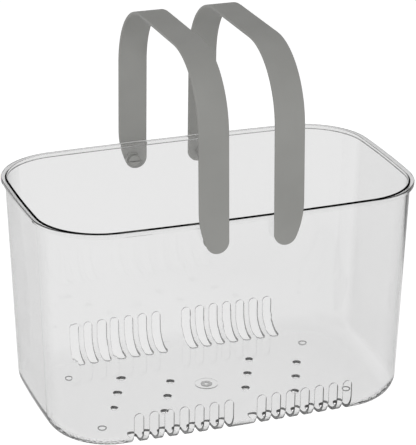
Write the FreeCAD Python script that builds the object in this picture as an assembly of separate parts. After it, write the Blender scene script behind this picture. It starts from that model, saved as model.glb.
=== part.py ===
# Shower caddy: a clear drained tub with two carry handles that fold outward. Millimetres.
# Frame: +X along the length, +Y towards the back wall, +Z up, ground at z = 0 under the feet.
import FreeCAD, Part
import math
import os
from FreeCAD import Vector

# Feet and floor
FOOT_D, FOOT_H, FOOT_ROUND = 6.0, 1.2, 0.9
FOOT_X, FOOT_Y = 87.3, 39.6
FLOOR_Z = FOOT_H
FLOOR_T = 2.2

# Tub body: half sizes are taken at the middle of each side, which bows outward a little
TUB_H = 153.55
RIM_Z = FLOOR_Z + TUB_H
WALL_T = 1.5
LONG_R, SHORT_R = 2490.0, 850.0
CORNER_R = 43.3
BASE_X, BASE_Y = 123.4, 75.2
TOP_X, TOP_Y = 128.7, 77.9
BASE_FILLET = 14.0

# Lip round the rim
LIP_OUT, LIP_H, LIP_ROUND = 2.6, 3.0, 0.8
BRIM_ROUND = 0.5

# Drain slots: two groups of seven in each long wall, run through the bottom round into the floor
SLOT_W, SLOT_TOP, SLOT_Y = 6.4, 25.4, 55.5
SLOT_FIRST, SLOT_PITCH, SLOT_COUNT = 11.4, 10.25, 7
SLOT_CORNER = 3.0

# Drain holes: a skewed two by three grid, repeated half a turn round on the other side
HOLE_D = 5.8
HOLE_CENTRE = (-0.4, -3.5)
HOLE_START = (-52.6, 29.0)
HOLE_STEP = (-9.2, -20.8)
HOLE_ROW = (30.0, -15.8)

# Moulding mark under the middle of the floor: a low round step with a small ring on it
GATE_STEP_D, GATE_STEP_H = 16.0, 0.6
GATE_RING_D, GATE_RING_W, GATE_RING_H = 8.0, 2.2, 1.1

# Handles: a flat band bent into an arch
PIVOT_X, PIVOT_Z = 26.0, FLOOR_Z + 141.0
BAND_IN, BAND_OUT = 15.3, 35.3
BAND_T, BAND_ROUND = 2.0, 0.6
ARCH_Z = FLOOR_Z + 258.6
SHOULDER_R = 48.5
LEG_Y, LEG_LEAN = 83.2, 1.6
END_X, END_Z, END_R = 23.0, FLOOR_Z + 140.9, 7.7
FLARE_Z = FLOOR_Z + 162.0

# Pivot pins
PIN_D, PIN_CLEAR = 5.0, 0.05
HEAD_D, HEAD_H, HEAD_ROUND, HEAD_GAP = 8.4, 1.7, 0.9, 0.2
SLIT_W, SLIT_DEPTH = 0.8, 0.8
TIP_CHAMFER, TIP_GAP = 0.5, 0.2
BOSS_D, BOSS_GAP = 10.0, 0.3
SOCKET_SKIN = 0.9

# How far a cutting or trimming shape reaches past what it works on
OVER = 5.0


def arc(a, b, c):
    return Part.Arc(a, b, c).toShape()


def line(a, b):
    return Part.LineSegment(a, b).toShape()


def plan(half_x, half_y, corner, inset, z):
    """Closed outline of eight tangent arcs: four bowed sides and four round corners."""
    hx, hy, r = half_x - inset, half_y - inset, corner - inset
    rl, rs = LONG_R - inset, SHORT_R - inset
    ax, ay, ra = 0.0, hy - rl, rl - r
    bx, by, rb = hx - rs, 0.0, rs - r
    d = math.hypot(bx - ax, by - ay)
    ux, uy = (bx - ax) / d, (by - ay) / d
    along = (ra * ra - rb * rb + d * d) / (2 * d)
    across = math.sqrt(ra * ra - along * along)
    cx, cy = max((ax + along * ux + s * across * -uy, ay + along * uy + s * across * ux) for s in (1, -1))
    long_end = (cx * rl / ra, ay + (cy - ay) * rl / ra)
    short_end = (bx + (cx - bx) * rs / rb, cy * rs / rb)
    turn = (math.atan2(cy - ay, cx) + math.atan2(cy, cx - bx)) / 2
    mid = (cx + r * math.cos(turn), cy + r * math.sin(turn))

    def p(point, sx=1, sy=1):
        return Vector(point[0] * sx, point[1] * sy, z)

    top, end = (0, hy), (hx, 0)
    return Part.Wire([
        arc(p(long_end, -1), p(top), p(long_end)),
        arc(p(long_end), p(mid), p(short_end)),
        arc(p(short_end), p(end), p(short_end, 1, -1)),
        arc(p(short_end, 1, -1), p(mid, 1, -1), p(long_end, 1, -1)),
        arc(p(long_end, 1, -1), p(top, 1, -1), p(long_end, -1, -1)),
        arc(p(long_end, -1, -1), p(mid, -1, -1), p(short_end, -1, -1)),
        arc(p(short_end, -1, -1), p(end, -1, -1), p(short_end, -1)),
        arc(p(short_end, -1), p(mid, -1), p(long_end, -1)),
    ])


def half_sizes(z):
    """Outer half sizes of the tapered body at a height."""
    t = (z - FLOOR_Z) / TUB_H
    return BASE_X + (TOP_X - BASE_X) * t, BASE_Y + (TOP_Y - BASE_Y) * t


def tapered(z0, z1, inset, fillet):
    """Solid between two heights of the tapered body, drawn in by the inset, with a round bottom."""
    wires = [plan(*half_sizes(z), CORNER_R, inset, z) for z in (z0, z1)]
    solid = Part.makeLoft(wires, True, True)
    low = [e for e in solid.Edges if e.BoundBox.ZMax < z0 + 0.001]
    return solid.makeFillet(fillet, low)


def wall_y(x, z, inset=0.0):
    """Distance of the long wall's face from the middle, at a place along it."""
    return half_sizes(z)[1] - inset - x * x / (2 * LONG_R)


def cylinder_y(diameter, x, z, y0, y1):
    return Part.makeCylinder(diameter / 2, y1 - y0, Vector(x, y0, z), Vector(0, 1, 0))


def tub_shell():
    outer = tapered(FLOOR_Z, RIM_Z - LIP_H / 2, 0.0, BASE_FILLET)
    lip_wire = plan(TOP_X, TOP_Y, CORNER_R, -LIP_OUT, RIM_Z - LIP_H)
    lip = Part.Face(lip_wire).extrude(Vector(0, 0, LIP_H))
    flat = [e for e in lip.Edges if e.BoundBox.ZLength < 0.001]
    lip = lip.makeFillet(LIP_ROUND, flat)
    inner = tapered(FLOOR_Z + FLOOR_T, RIM_Z + OVER, WALL_T, BASE_FILLET - WALL_T)
    shell = outer.fuse(lip).cut(inner).removeSplitter()
    brim = [e for e in shell.Edges if e.BoundBox.ZMin > RIM_Z - 0.001 and within(e.BoundBox, TOP_X - 1, TOP_Y - 1)]
    return shell.makeFillet(BRIM_ROUND, brim)


def within(box, half_x, half_y):
    return max(box.XMax, -box.XMin) < half_x and max(box.YMax, -box.YMin) < half_y


def slot_cutter(x, side):
    """One slot: a round-topped upright profile run outward from the floor through the wall."""
    low, arch = FLOOR_Z - OVER, FLOOR_Z + SLOT_TOP - SLOT_W / 2
    h = SLOT_W / 2
    wire = Part.Wire([
        line(Vector(x - h, SLOT_Y, low), Vector(x + h, SLOT_Y, low)),
        line(Vector(x + h, SLOT_Y, low), Vector(x + h, SLOT_Y, arch)),
        arc(Vector(x + h, SLOT_Y, arch), Vector(x, SLOT_Y, arch + h), Vector(x - h, SLOT_Y, arch)),
        line(Vector(x - h, SLOT_Y, arch), Vector(x - h, SLOT_Y, low)),
    ])
    cutter = Part.Face(wire).extrude(Vector(0, TOP_Y + OVER - SLOT_Y, 0))
    ends = [e for e in cutter.Edges
            if abs(e.BoundBox.YMax - SLOT_Y) < 0.001 and e.BoundBox.XLength < 0.001]
    cutter = cutter.makeFillet(SLOT_CORNER, ends)
    return cutter if side > 0 else cutter.mirror(Vector(0, 0, 0), Vector(0, 1, 0))


def drain_points():
    points = []
    for i in range(3):
        for j in range(2):
            x = HOLE_START[0] + i * HOLE_STEP[0] + j * HOLE_ROW[0]
            y = HOLE_START[1] + i * HOLE_STEP[1] + j * HOLE_ROW[1]
            points += [(HOLE_CENTRE[0] + s * x, HOLE_CENTRE[1] + s * y) for s in (1, -1)]
    return points


def under_floor(diameter, height, x, y):
    """A round stud standing down from the floor, rooted half way into it."""
    return Part.makeCylinder(diameter / 2, height + FLOOR_T / 2, Vector(x, y, FLOOR_Z - height))


def make_tub():
    shell = tub_shell()
    cutters = []
    for side in (1, -1):
        for k in range(SLOT_COUNT):
            x = SLOT_FIRST + k * SLOT_PITCH
            cutters += [slot_cutter(x, side), slot_cutter(-x, side)]
    for x, y in drain_points():
        cutters.append(Part.makeCylinder(HOLE_D / 2, FLOOR_T + 2 * OVER, Vector(x, y, FLOOR_Z - OVER)))
    for x in (PIVOT_X, -PIVOT_X):
        cutters.append(cylinder_y(PIN_D + 2 * PIN_CLEAR, x, PIVOT_Z, -TOP_Y - OVER, TOP_Y + OVER))
    ring = under_floor(GATE_RING_D, GATE_RING_H, 0, 0)
    bore = under_floor(GATE_RING_D - 2 * GATE_RING_W, GATE_RING_H + OVER, 0, 0)
    added = [under_floor(GATE_STEP_D, GATE_STEP_H, 0, 0), ring.cut(bore)]
    for x, y in ((FOOT_X, FOOT_Y), (-FOOT_X, FOOT_Y), (-FOOT_X, -FOOT_Y), (FOOT_X, -FOOT_Y)):
        foot = under_floor(FOOT_D, FOOT_H, x, y)
        tip = [e for e in foot.Edges if e.BoundBox.ZMax < 0.001]
        added.append(foot.makeFillet(FOOT_ROUND, tip))
    return shell.cut(Part.makeCompound(cutters)).fuse(added)


def leg_frame():
    """Outward normal of the leaning leg, the shoulder's centre and the leg line's offset."""
    lean = math.radians(LEG_LEAN)
    ny, nz = math.cos(lean), math.sin(lean)
    offset = ny * LEG_Y + nz * PIVOT_Z
    centre_z = ARCH_Z - SHOULDER_R
    centre_y = (offset - SHOULDER_R - nz * centre_z) / ny
    return ny, nz, centre_y, centre_z, offset


def leg_y(z, depth=0.0):
    """Distance of the leg's face from the middle at a height, under its outer face by a depth."""
    ny, nz, _, _, offset = leg_frame()
    return (offset - depth - nz * z) / ny


def arch_edges(depth):
    """The arch's line in the YZ plane, under its outer face by a depth, from +Y foot to -Y foot."""
    ny, nz, cy, cz, _ = leg_frame()
    r = SHOULDER_R - depth
    half = math.atan2(nz, ny) / 2 + math.pi / 4
    foot_z = END_Z - END_R - OVER
    foot = Vector(0, leg_y(foot_z, depth), foot_z)
    low = Vector(0, cy + r * ny, cz + r * nz)
    mid = Vector(0, cy + r * math.cos(half), cz + r * math.sin(half))
    high = Vector(0, cy, cz + r)

    def m(v):
        return Vector(0, -v.y, v.z)

    edges = [line(foot, low), arc(low, mid, high), line(high, m(high)), arc(m(high), m(mid), m(low)),
             line(m(low), m(foot))]
    return edges, foot, m(foot)


def make_band():
    outer, outer_a, outer_b = arch_edges(0.0)
    inner, inner_a, inner_b = arch_edges(BAND_T)
    rim = Part.Wire(outer + [line(outer_b, inner_b)] + inner[::-1] + [line(inner_a, outer_a)])
    arch = Part.Face(rim).extrude(Vector(BAND_OUT + OVER, 0, 0))
    rise, out = FLARE_Z - END_Z, BAND_OUT - END_X
    flare_r = (rise * rise + out * out - END_R * END_R) / (2 * (out - END_R))
    fx = BAND_OUT - flare_r
    ex, ez = END_X - fx, END_Z - FLARE_Z
    reach = math.hypot(ex, ez)
    join = Vector(fx + flare_r * ex / reach, 0, FLARE_Z + flare_r * ez / reach)
    half = math.atan2(ez, ex) / 2
    bulge = Vector(fx + flare_r * math.cos(half), 0, FLARE_Z + flare_r * math.sin(half))
    top = ARCH_Z + OVER
    left = Vector(END_X - END_R, 0, END_Z)
    tip = Vector(END_X, 0, END_Z - END_R)
    side = Part.Wire([
        line(Vector(left.x, 0, top), left),
        arc(left, tip, join),
        arc(join, bulge, Vector(BAND_OUT, 0, FLARE_Z)),
        line(Vector(BAND_OUT, 0, FLARE_Z), Vector(BAND_OUT, 0, top)),
        line(Vector(BAND_OUT, 0, top), Vector(left.x, 0, top)),
    ])
    blank = Part.Face(side).extrude(Vector(0, 2 * (LEG_Y + OVER), 0))
    blank.translate(Vector(0, -LEG_Y - OVER, 0))
    band = arch.common(blank)
    return band.makeFillet(BAND_ROUND, band.Edges)


def boss_end(side):
    return side * (wall_y(PIVOT_X, PIVOT_Z) + BOSS_GAP)


def socket_end():
    return leg_y(PIVOT_Z) - SOCKET_SKIN


def make_right_handle():
    handle = make_band()
    for side in (1, -1):
        y0, y1 = sorted((boss_end(side), side * leg_y(PIVOT_Z, BAND_T / 2)))
        handle = handle.fuse(cylinder_y(BOSS_D, PIVOT_X, PIVOT_Z, y0, y1))
    for side in (1, -1):
        y0, y1 = sorted((boss_end(side) - side, side * socket_end()))
        handle = handle.cut(cylinder_y(PIN_D, PIVOT_X, PIVOT_Z, y0, y1))
    return handle


def make_right_back_pin():
    """Pin with a slit domed head inside the tub, pushed through the wall into the leg."""
    seat = wall_y(PIVOT_X, PIVOT_Z, WALL_T) - HEAD_GAP
    front = seat - HEAD_H
    head = cylinder_y(HEAD_D, PIVOT_X, PIVOT_Z, front, seat)
    face = [e for e in head.Edges if e.BoundBox.YMax < front + 0.001]
    head = head.makeFillet(HEAD_ROUND, face)
    tip_y = socket_end() - TIP_GAP
    shank = cylinder_y(PIN_D, PIVOT_X, PIVOT_Z, seat - HEAD_H / 2, tip_y)
    tip = [e for e in shank.Edges if e.BoundBox.YMin > tip_y - 0.001]
    shank = shank.makeChamfer(TIP_CHAMFER, tip)
    slit = Part.makeBox(HEAD_D + 2 * OVER, OVER + SLIT_DEPTH, SLIT_W,
                        Vector(PIVOT_X - HEAD_D / 2 - OVER, front - OVER, PIVOT_Z - SLIT_W / 2))
    return head.fuse(shank).cut(slit)


def save(shape, name):
    solids = shape.Solids
    if len(solids) != 1 or not solids[0].isValid():
        raise ValueError("%s: %d solids" % (name, len(solids)))
    solids[0].exportStep("parts/%s.step" % name)
    print(name, round(solids[0].Volume / 1000, 2), "cm3")


os.makedirs("parts", exist_ok=True)
tub = make_tub()
right_handle = make_right_handle()
pin = make_right_back_pin()
flip_x, flip_y, origin = Vector(1, 0, 0), Vector(0, 1, 0), Vector(0, 0, 0)
save(tub, "tub")
save(right_handle, "right_handle")
save(right_handle.mirror(origin, flip_x), "left_handle")
save(pin, "right_back_pivot_pin")
save(pin.mirror(origin, flip_y), "right_front_pivot_pin")
save(pin.mirror(origin, flip_x), "left_back_pivot_pin")
save(pin.mirror(origin, flip_x).mirror(origin, flip_y), "left_front_pivot_pin")
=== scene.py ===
"""Looks for the shower caddy: clear tub, grey handles and pins, studio floor, light and camera. Metres."""
import functools
import math

import bpy
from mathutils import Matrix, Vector


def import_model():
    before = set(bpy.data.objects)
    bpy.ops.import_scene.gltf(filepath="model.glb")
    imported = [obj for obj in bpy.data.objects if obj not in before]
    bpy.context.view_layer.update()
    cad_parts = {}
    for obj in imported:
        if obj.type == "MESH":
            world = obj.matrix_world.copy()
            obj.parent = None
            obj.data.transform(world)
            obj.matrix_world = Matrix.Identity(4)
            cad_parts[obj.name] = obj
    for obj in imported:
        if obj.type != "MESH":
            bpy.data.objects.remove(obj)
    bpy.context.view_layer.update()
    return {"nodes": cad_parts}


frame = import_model()
nodes = frame["nodes"]

# Camera
VIEW_AZIMUTH, VIEW_ELEVATION, VIEW_ROLL = math.radians(-20.1), math.radians(21.82), math.radians(0.30)
VIEW_DISTANCE = 1.4432
VIEW_TARGET = Vector((0.0006, -0.0001, 0.1213))
LENS, SENSOR = 174.9, 36.0

# Most of a noise texture's values lie between these
NOISE_LOW, NOISE_HIGH = 0.3, 0.7

# Handles and pins: a warm grey that varies a little over a broad pattern, with a fine moulded grain
HANDLE_GREY, HANDLE_GREY_LOW = (0.355, 0.355, 0.34), (0.325, 0.325, 0.31)
BROAD_SCALE, HANDLE_DETAIL, HANDLE_ROUGH = 30.0, 2.0, (0.48, 0.6)
GRAIN_SCALE, GRAIN_HEIGHT = 1400.0, 0.00002

# Clear plastic: loss of light per metre of path, slight flow marks, and painted shade that darkens upright
# faces at a glance
CLEAR_IOR, CLEAR_LOSS, CLEAR_ROUGH = 1.49, 13.0, (0.01, 0.04)
FLOW_SCALE, FLOW_DETAIL, FLOW_HEIGHT = 9.0, 1.0, 0.00004
GLANCE_SHADE_FROM, GLANCE_PAINTED_SHADE = 0.42, 0.5

# Painted shade: the upright faces of the feet, slots and drain holes and the foot of the moulding-mark ring
# are painted darker, standing in for the dark outlines that refraction draws there; all but the drain holes
# also let less light through, and all are rougher. These heights and half lengths find them: the feet's tops,
# the floor's top, the slots and the foot of the ring in the moulding mark
EDGE_PAINTED_SHADE, EDGE_SHADE_CLEAR, EDGE_ROUGH = 0.07, 0.3, 0.2
UNDER_TOP, FLOOR_TOP = 0.0011, 0.0036
SLOT_FROM, SLOT_TO, SLOT_HALF_X, SLOT_Y = 0.0051, 0.028, 0.08, 0.05
RING_FOOT, RING_HALF_X, RING_SHARE = 0.0003, 0.01, 0.6
# A face is upright, or faces along x, under the first limit, and isn't level under the second
UPRIGHT, LEVEL = 0.5, 0.97

# Vertices this close are one, and edges bent by more than this stay sharp
WELD, SHARP = 1e-6, math.radians(30)

# The floor has its own share of diffuse white and glow for what the camera sees directly, for the light
# that it throws back on the object, and for what is seen through the plastic
FLOOR_SEEN = (0.9, 0.6)
FLOOR_BOUNCE = (0.4, 0.36)
FLOOR_BEHIND = (0.4, 0.58)
FLOOR_SIZE, FLOOR_ROUGH = 12.0, 0.8

# Light: a dome from the horizon to overhead, dimmed to a share at its two sides, and a key lamp
DOME_LOW, DOME_HIGH = 0.88, 0.25
FLAG_FROM, FLAG_TO, FLAG_SHARE = 0.6, 0.95, 0.25
KEY_PLACE, KEY_AIM, KEY_SIZE, KEY_WATTS = (-1.2, -1.5, 2.2), (0, 0, 0.1), 1.2, 26.0

# A black card behind and above, seen only in reflections, which darkens the top of the rim
CARD_PLACE, CARD_SIZE = (0.22, 0.6, 0.39), (0.5, 0.14, 1)


def shader_node(tree, kind, **inputs):
    node = tree.nodes.new(kind)
    for name, value in inputs.items():
        node.inputs[name.replace("_", " ")].default_value = value
    return node


def new_material(name):
    material = bpy.data.materials.new(name)
    material.use_nodes = True
    tree = material.node_tree
    return material, tree, tree.nodes["Principled BSDF"]


def mix_by_ray(tree, path, ray, otherwise, then):
    """The surface `then` for one kind of ray and `otherwise` for the rest."""
    mix = tree.nodes.new("ShaderNodeMixShader")
    tree.links.new(path.outputs[ray], mix.inputs[0])
    tree.links.new(otherwise, mix.inputs[1])
    tree.links.new(then, mix.inputs[2])
    return mix.outputs[0]


def object_noise(tree, scale, detail):
    place = tree.nodes.new("ShaderNodeTexCoord")
    noise = shader_node(tree, "ShaderNodeTexNoise", Scale=scale, Detail=detail)
    tree.links.new(place.outputs["Object"], noise.inputs["Vector"])
    return noise.outputs[0]


def bump(tree, height, distance, shader):
    node = shader_node(tree, "ShaderNodeBump", Strength=1.0, Distance=distance)
    tree.links.new(height, node.inputs["Height"])
    tree.links.new(node.outputs[0], shader.inputs["Normal"])


def ranged(tree, value, low, high):
    """A noise value stretched to run from low to high."""
    limits = {"From_Min": NOISE_LOW, "From_Max": NOISE_HIGH, "To_Min": low, "To_Max": high}
    node = shader_node(tree, "ShaderNodeMapRange", **limits)
    tree.links.new(value, node.inputs["Value"])
    return node.outputs[0]


def maths(tree, operation, *values):
    node = tree.nodes.new("ShaderNodeMath")
    node.operation = operation
    for socket, value in zip(node.inputs, values):
        if isinstance(value, float):
            socket.default_value = value
        else:
            tree.links.new(value, socket)
    return node.outputs[0]


def combined(tree, operation, masks):
    return functools.reduce(lambda a, b: maths(tree, operation, a, b), masks)


def painted_outline_masks(tree):
    """Three masks: upright faces, painted dark outlines (feet, slots, moulding mark), and these with the
    drain holes.
    """
    place = tree.nodes.new("ShaderNodeTexCoord")
    at, facing = tree.nodes.new("ShaderNodeSeparateXYZ"), tree.nodes.new("ShaderNodeSeparateXYZ")
    tree.links.new(place.outputs["Object"], at.inputs[0])
    tree.links.new(place.outputs["Normal"], facing.inputs[0])
    x, y = (maths(tree, "ABSOLUTE", at.outputs[i]) for i in (0, 1))
    face_y, face_z = (maths(tree, "ABSOLUTE", facing.outputs[i]) for i in (1, 2))
    z = at.outputs[2]

    def under(value, limit):
        return maths(tree, "LESS_THAN", value, limit)

    def over(value, limit):
        return maths(tree, "GREATER_THAN", value, limit)

    def all_of(*masks):
        return combined(tree, "MULTIPLY", masks)

    def any_of(*masks):
        return combined(tree, "MAXIMUM", masks)

    upright = under(face_z, UPRIGHT)
    holes = all_of(under(z, FLOOR_TOP), upright)
    feet = all_of(under(z, UNDER_TOP), under(face_z, LEVEL))
    sides = all_of(under(face_y, UPRIGHT), under(x, SLOT_HALF_X), over(y, SLOT_Y), over(z, SLOT_FROM),
                   under(z, SLOT_TO))
    ends = all_of(holes, over(y, SLOT_Y))
    ring = all_of(under(z, RING_FOOT), under(x, RING_HALF_X), RING_SHARE)
    outline_shade = any_of(feet, sides, ends, ring)
    return upright, outline_shade, any_of(outline_shade, holes)


def blend(tree, factor, low, high):
    """Goes from low to high with the factor."""
    node = tree.nodes.new("ShaderNodeMix")
    for socket, value in zip(node.inputs, (factor, None, low, high)):
        if isinstance(value, float):
            socket.default_value = value
        elif value is not None:
            tree.links.new(value, socket)
    return node.outputs[0]


def clear_plastic():
    material, tree, shader = new_material("clear_plastic_look")
    shader.inputs["IOR"].default_value = CLEAR_IOR
    # Painted shade: the outline masks darken the base colour and cut the light let through, standing in for
    # refraction's dark outlines
    upright, outline_shade, outline_and_hole_shade = painted_outline_masks(tree)
    tree.links.new(blend(tree, outline_shade, 1.0, EDGE_SHADE_CLEAR), shader.inputs["Transmission Weight"])
    flow = object_noise(tree, FLOW_SCALE, FLOW_DETAIL)
    bump(tree, flow, FLOW_HEIGHT, shader)
    rough = ranged(tree, flow, *CLEAR_ROUGH)
    tree.links.new(blend(tree, outline_and_hole_shade, rough, EDGE_ROUGH), shader.inputs["Roughness"])
    # Painted shade: the base colour of upright faces darkens as they turn edge-on, standing in for the darker
    # grazing walls
    weight = shader_node(tree, "ShaderNodeLayerWeight", Blend=0.5)
    glance_shade = shader_node(tree, "ShaderNodeMapRange", From_Min=GLANCE_SHADE_FROM, To_Min=1.0, To_Max=GLANCE_PAINTED_SHADE)
    tree.links.new(maths(tree, "MULTIPLY", weight.outputs["Facing"], upright), glance_shade.inputs["Value"])
    tree.links.new(blend(tree, outline_and_hole_shade, glance_shade.outputs[0], EDGE_PAINTED_SHADE), shader.inputs["Base Color"])
    path = tree.nodes.new("ShaderNodeLightPath")
    passing = shader_node(tree, "ShaderNodeBsdfTransparent", Color=(1, 1, 1, 1)).outputs[0]
    surface = mix_by_ray(tree, path, "Is Shadow Ray", shader.outputs[0], passing)
    surface = mix_by_ray(tree, path, "Is Diffuse Ray", surface, passing)
    tree.links.new(surface, tree.nodes["Material Output"].inputs["Surface"])
    loss = shader_node(tree, "ShaderNodeVolumeAbsorption", Color=(0, 0, 0, 1), Density=CLEAR_LOSS)
    tree.links.new(loss.outputs[0], tree.nodes["Material Output"].inputs["Volume"])
    return material


def grey_plastic():
    material, tree, shader = new_material("grey_plastic_look")
    broad = object_noise(tree, BROAD_SCALE, HANDLE_DETAIL)
    fine = object_noise(tree, GRAIN_SCALE, HANDLE_DETAIL)
    colour = tree.nodes.new("ShaderNodeMix")
    colour.data_type = "RGBA"
    colour.inputs[6].default_value = (*HANDLE_GREY_LOW, 1)
    colour.inputs[7].default_value = (*HANDLE_GREY, 1)
    tree.links.new(ranged(tree, broad, 0.0, 1.0), colour.inputs[0])
    tree.links.new(colour.outputs[2], shader.inputs["Base Color"])
    tree.links.new(ranged(tree, fine, *HANDLE_ROUGH), shader.inputs["Roughness"])
    bump(tree, fine, GRAIN_HEIGHT, shader)
    return material


def even_normals(node):
    """Shades each smooth run of CAD faces as one surface, across the seams where the mesh is open."""
    node.modifiers.new("weld", "WELD").merge_threshold = WELD
    node.modifiers.new("split", "EDGE_SPLIT").split_angle = SHARP
    node.modifiers.new("weighted", "WEIGHTED_NORMAL")


def dress(names, material):
    for name in names:
        even_normals(nodes[name])
        for slot in nodes[name].material_slots:
            slot.link = "OBJECT"
            slot.material = material


def floor():
    bpy.ops.mesh.primitive_plane_add(size=FLOOR_SIZE)
    plane = bpy.context.object
    plane.name = "floor"
    material, tree, shader = new_material("floor_white")
    bounce, behind = (tree.nodes.new("ShaderNodeBsdfPrincipled") for _ in range(2))
    for surface, (white, glow) in ((shader, FLOOR_SEEN), (bounce, FLOOR_BOUNCE), (behind, FLOOR_BEHIND)):
        surface.inputs["Base Color"].default_value = (white, white, white, 1)
        surface.inputs["Roughness"].default_value = FLOOR_ROUGH
        surface.inputs["Emission Color"].default_value = (1, 1, 1, 1)
        surface.inputs["Emission Strength"].default_value = glow
    path = tree.nodes.new("ShaderNodeLightPath")
    surface = mix_by_ray(tree, path, "Is Diffuse Ray", behind.outputs[0], bounce.outputs[0])
    surface = mix_by_ray(tree, path, "Is Camera Ray", surface, shader.outputs[0])
    tree.links.new(surface, tree.nodes["Material Output"].inputs["Surface"])
    plane.data.materials.append(material)


def rim_card():
    bpy.ops.mesh.primitive_plane_add(size=1, location=CARD_PLACE, rotation=(math.pi / 2, 0, 0))
    card = bpy.context.object
    card.name = "rim_card"
    card.scale = CARD_SIZE
    card.visible_camera = card.visible_diffuse = card.visible_transmission = card.visible_shadow = False
    material, _, shader = new_material("card_black")
    shader.inputs["Base Color"].default_value = (0, 0, 0, 1)
    shader.inputs["Roughness"].default_value = 1.0
    card.data.materials.append(material)


def area_light(name, place, aim, size, watts):
    data = bpy.data.lights.new(name, "AREA")
    data.shape, data.size, data.energy = "SQUARE", size, watts
    lamp = bpy.data.objects.new(name, data)
    lamp.location = place
    lamp.rotation_euler = (Vector(aim) - Vector(place)).to_track_quat("-Z", "Y").to_euler()
    lamp.visible_glossy = False
    lamp.visible_transmission = False
    bpy.context.collection.objects.link(lamp)


def world():
    studio = bpy.data.worlds.new("studio")
    studio.use_nodes = True
    tree = studio.node_tree
    place = tree.nodes.new("ShaderNodeTexCoord")
    split = tree.nodes.new("ShaderNodeSeparateXYZ")
    tree.links.new(place.outputs["Generated"], split.inputs[0])
    dome = shader_node(tree, "ShaderNodeMapRange", To_Min=DOME_LOW, To_Max=DOME_HIGH)
    tree.links.new(split.outputs["Z"], dome.inputs["Value"])
    limits = {"From_Min": FLAG_FROM, "From_Max": FLAG_TO, "To_Min": 1.0, "To_Max": FLAG_SHARE}
    flag = shader_node(tree, "ShaderNodeMapRange", **limits)
    flag.interpolation_type = "SMOOTHSTEP"
    tree.links.new(maths(tree, "ABSOLUTE", split.outputs["X"]), flag.inputs["Value"])
    strength = maths(tree, "MULTIPLY", dome.outputs[0], flag.outputs[0])
    tree.links.new(strength, tree.nodes["Background"].inputs["Strength"])
    tree.nodes["Background"].inputs["Color"].default_value = (1, 1, 1, 1)
    bpy.context.scene.world = studio


def camera():
    data = bpy.data.cameras.new("camera")
    data.lens, data.sensor_width = LENS, SENSOR
    cam = bpy.data.objects.new("camera", data)
    a, e = VIEW_AZIMUTH, VIEW_ELEVATION
    back = Vector((math.sin(a) * math.cos(e), -math.cos(a) * math.cos(e), math.sin(e)))
    cam.location = VIEW_TARGET + back * VIEW_DISTANCE
    turn = (-back).to_track_quat("-Z", "Y").to_matrix().to_4x4()
    cam.rotation_euler = turn.to_euler()
    cam.rotation_euler.rotate_axis("Z", VIEW_ROLL)
    bpy.context.collection.objects.link(cam)
    bpy.context.scene.camera = cam


camera()
floor()
rim_card()
world()
area_light("key", KEY_PLACE, KEY_AIM, KEY_SIZE, KEY_WATTS)
dress(["tub"], clear_plastic())
dress([n for n in nodes if n != "tub"], grey_plastic())
bpy.context.scene.view_settings.view_transform = "Standard"
